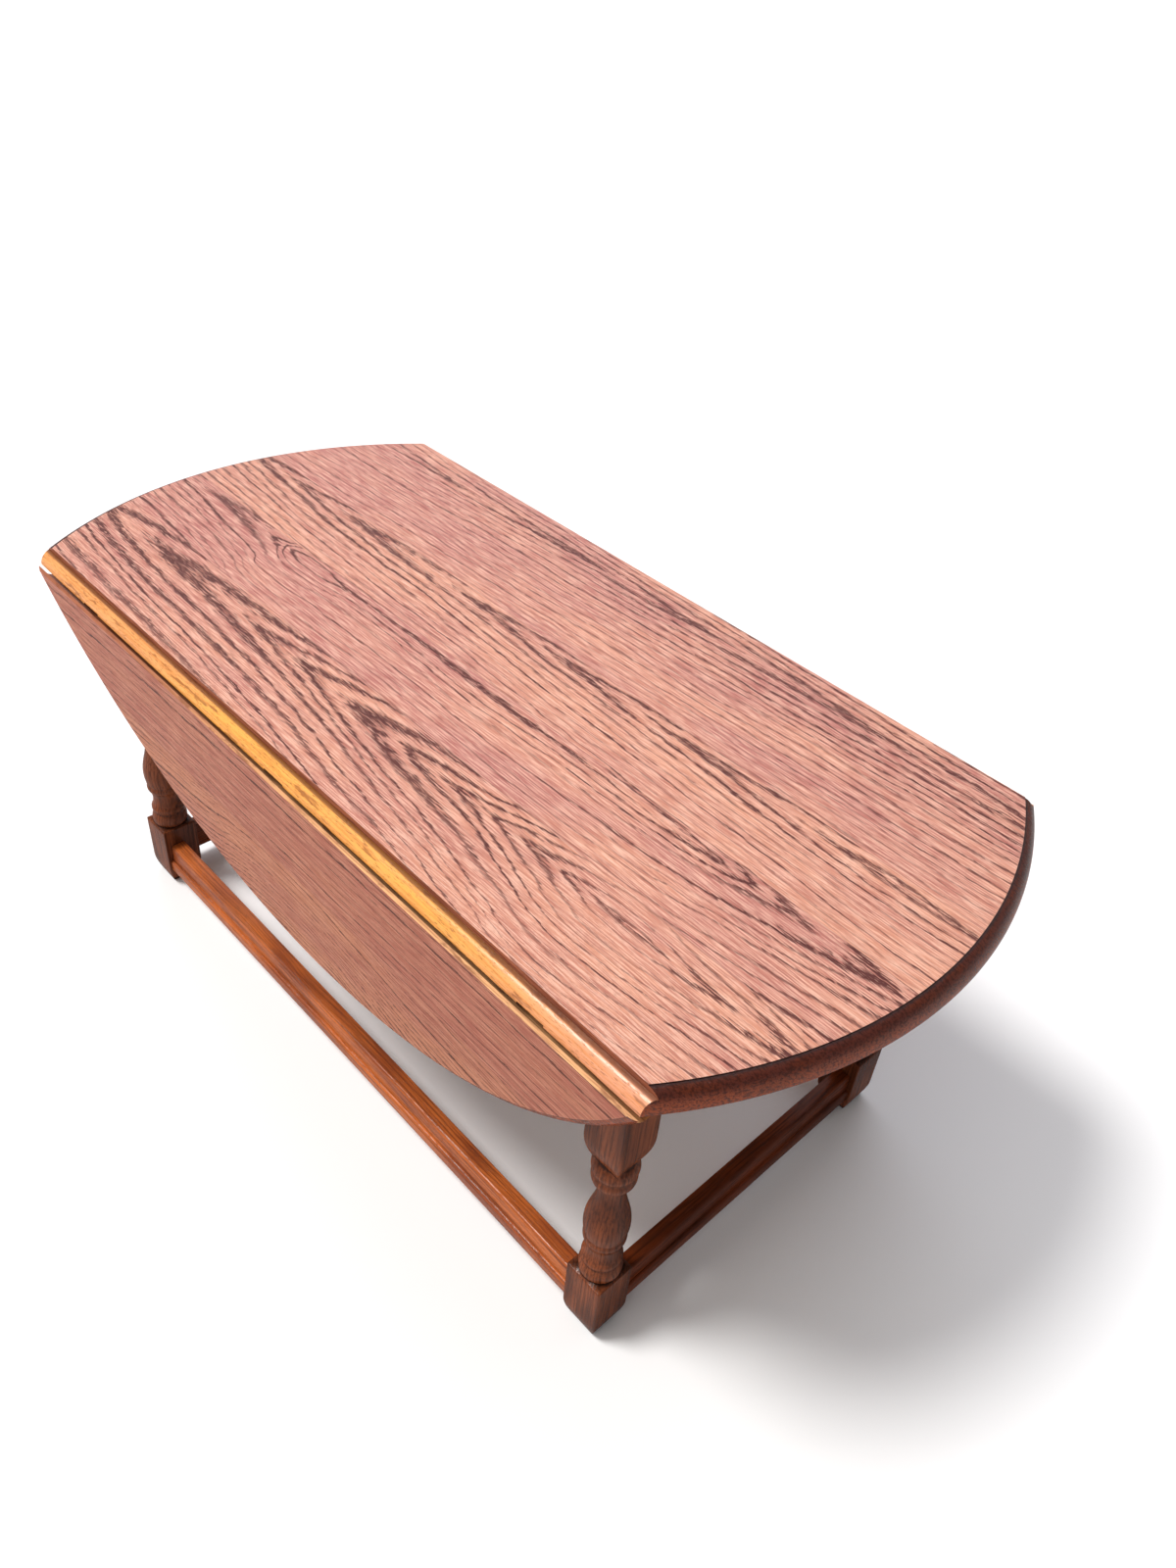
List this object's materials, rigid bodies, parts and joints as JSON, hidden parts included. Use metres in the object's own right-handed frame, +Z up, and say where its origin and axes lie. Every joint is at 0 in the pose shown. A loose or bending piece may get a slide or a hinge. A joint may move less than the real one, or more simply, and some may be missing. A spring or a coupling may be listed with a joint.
{
  "type": "drop leaf table",
  "caption": "Oval drop leaf table in oak: a fixed centre top with a hinged leaf along each long side, turned legs joined by low moulded stretchers.",
  "frame": {"origin": "on the floor under the middle of the table", "axes": "+X along the length of the centre top, -Y the near side, +Z up"},
  "size_m": [1.1296, 0.5534, 0.48],
  "materials": {
    "oak_top": "polished rose-brown oak",
    "oak_leaf": "polished rose-brown oak",
    "oak_dark": "dark brown stained oak, satin",
    "oak_stretcher": "brown stained oak, satin",
    "oak_hidden": "plain oak, unpolished",
    "beech": "plain beech dowel",
    "brass": "dull brass",
    "steel": "steel pin"
  },
  "bodies": {
    "frame": {"centre_top": "oak_top", "hinge_top_plate_near_left": "brass", "hinge_pin_near_left": "steel", "hinge_top_plate_near_middle": "brass", "hinge_pin_near_middle": "steel", "hinge_top_plate_near_right": "brass", "hinge_pin_near_right": "steel", "hinge_top_plate_far_left": "brass", "hinge_pin_far_left": "steel", "hinge_top_plate_far_middle": "brass", "hinge_pin_far_middle": "steel", "hinge_top_plate_far_right": "brass", "hinge_pin_far_right": "steel", "leg_near_left": "oak_dark", "leg_near_right": "oak_dark", "leg_far_left": "oak_dark", "leg_far_right": "oak_dark", "rail_near": "oak_dark", "rail_far": "oak_dark", "rail_left": "oak_dark", "rail_right": "oak_dark", "stretcher_near": "oak_stretcher", "stretcher_far": "oak_stretcher", "stretcher_left": "oak_stretcher", "stretcher_right": "oak_stretcher", "loper_bearer_left": "oak_hidden", "loper_bearer_right": "oak_hidden", "top_button_left_near": "oak_hidden", "top_button_long_near_left": "oak_hidden", "top_button_left_far": "oak_hidden", "top_button_long_far_left": "oak_hidden", "top_button_right_near": "oak_hidden", "top_button_long_near_right": "oak_hidden", "top_button_right_far": "oak_hidden", "top_button_long_far_right": "oak_hidden"},
    "leaf_near": {"leaf_near": "oak_leaf", "hinge_leaf_plate_near_left": "brass", "hinge_leaf_plate_near_middle": "brass", "hinge_leaf_plate_near_right": "brass"},
    "leaf_far": {"leaf_far": "oak_leaf", "hinge_leaf_plate_far_left": "brass", "hinge_leaf_plate_far_middle": "brass", "hinge_leaf_plate_far_right": "brass"},
    "loper_near_left": {"loper_near_left": "oak_hidden", "loper_stop_peg_near_left": "beech"},
    "loper_near_right": {"loper_near_right": "oak_hidden", "loper_stop_peg_near_right": "beech"},
    "loper_far_left": {"loper_far_left": "oak_hidden", "loper_stop_peg_far_left": "beech"},
    "loper_far_right": {"loper_far_right": "oak_hidden", "loper_stop_peg_far_right": "beech"}
  },
  "joints": [
    {"name": "leaf_near_hinge", "type": "hinge", "parent": "frame", "child": "leaf_near", "pos_m": [0, -0.2575, 0.4607], "axis": [-1, 0, 0], "range_deg": [0, 94.9]},
    {"name": "leaf_far_hinge", "type": "hinge", "parent": "frame", "child": "leaf_far", "pos_m": [0, 0.2575, 0.4607], "axis": [1, 0, 0], "range_deg": [0, 94.9]},
    {"name": "loper_near_left_slide", "type": "slide", "parent": "frame", "child": "loper_near_left", "axis": [0, -1, 0], "range_m": [0, 0.028]},
    {"name": "loper_near_right_slide", "type": "slide", "parent": "frame", "child": "loper_near_right", "axis": [0, -1, 0], "range_m": [0, 0.028]},
    {"name": "loper_far_left_slide", "type": "slide", "parent": "frame", "child": "loper_far_left", "axis": [0, 1, 0], "range_m": [0, 0.028]},
    {"name": "loper_far_right_slide", "type": "slide", "parent": "frame", "child": "loper_far_right", "axis": [0, 1, 0], "range_m": [0, 0.028]}
  ]
}
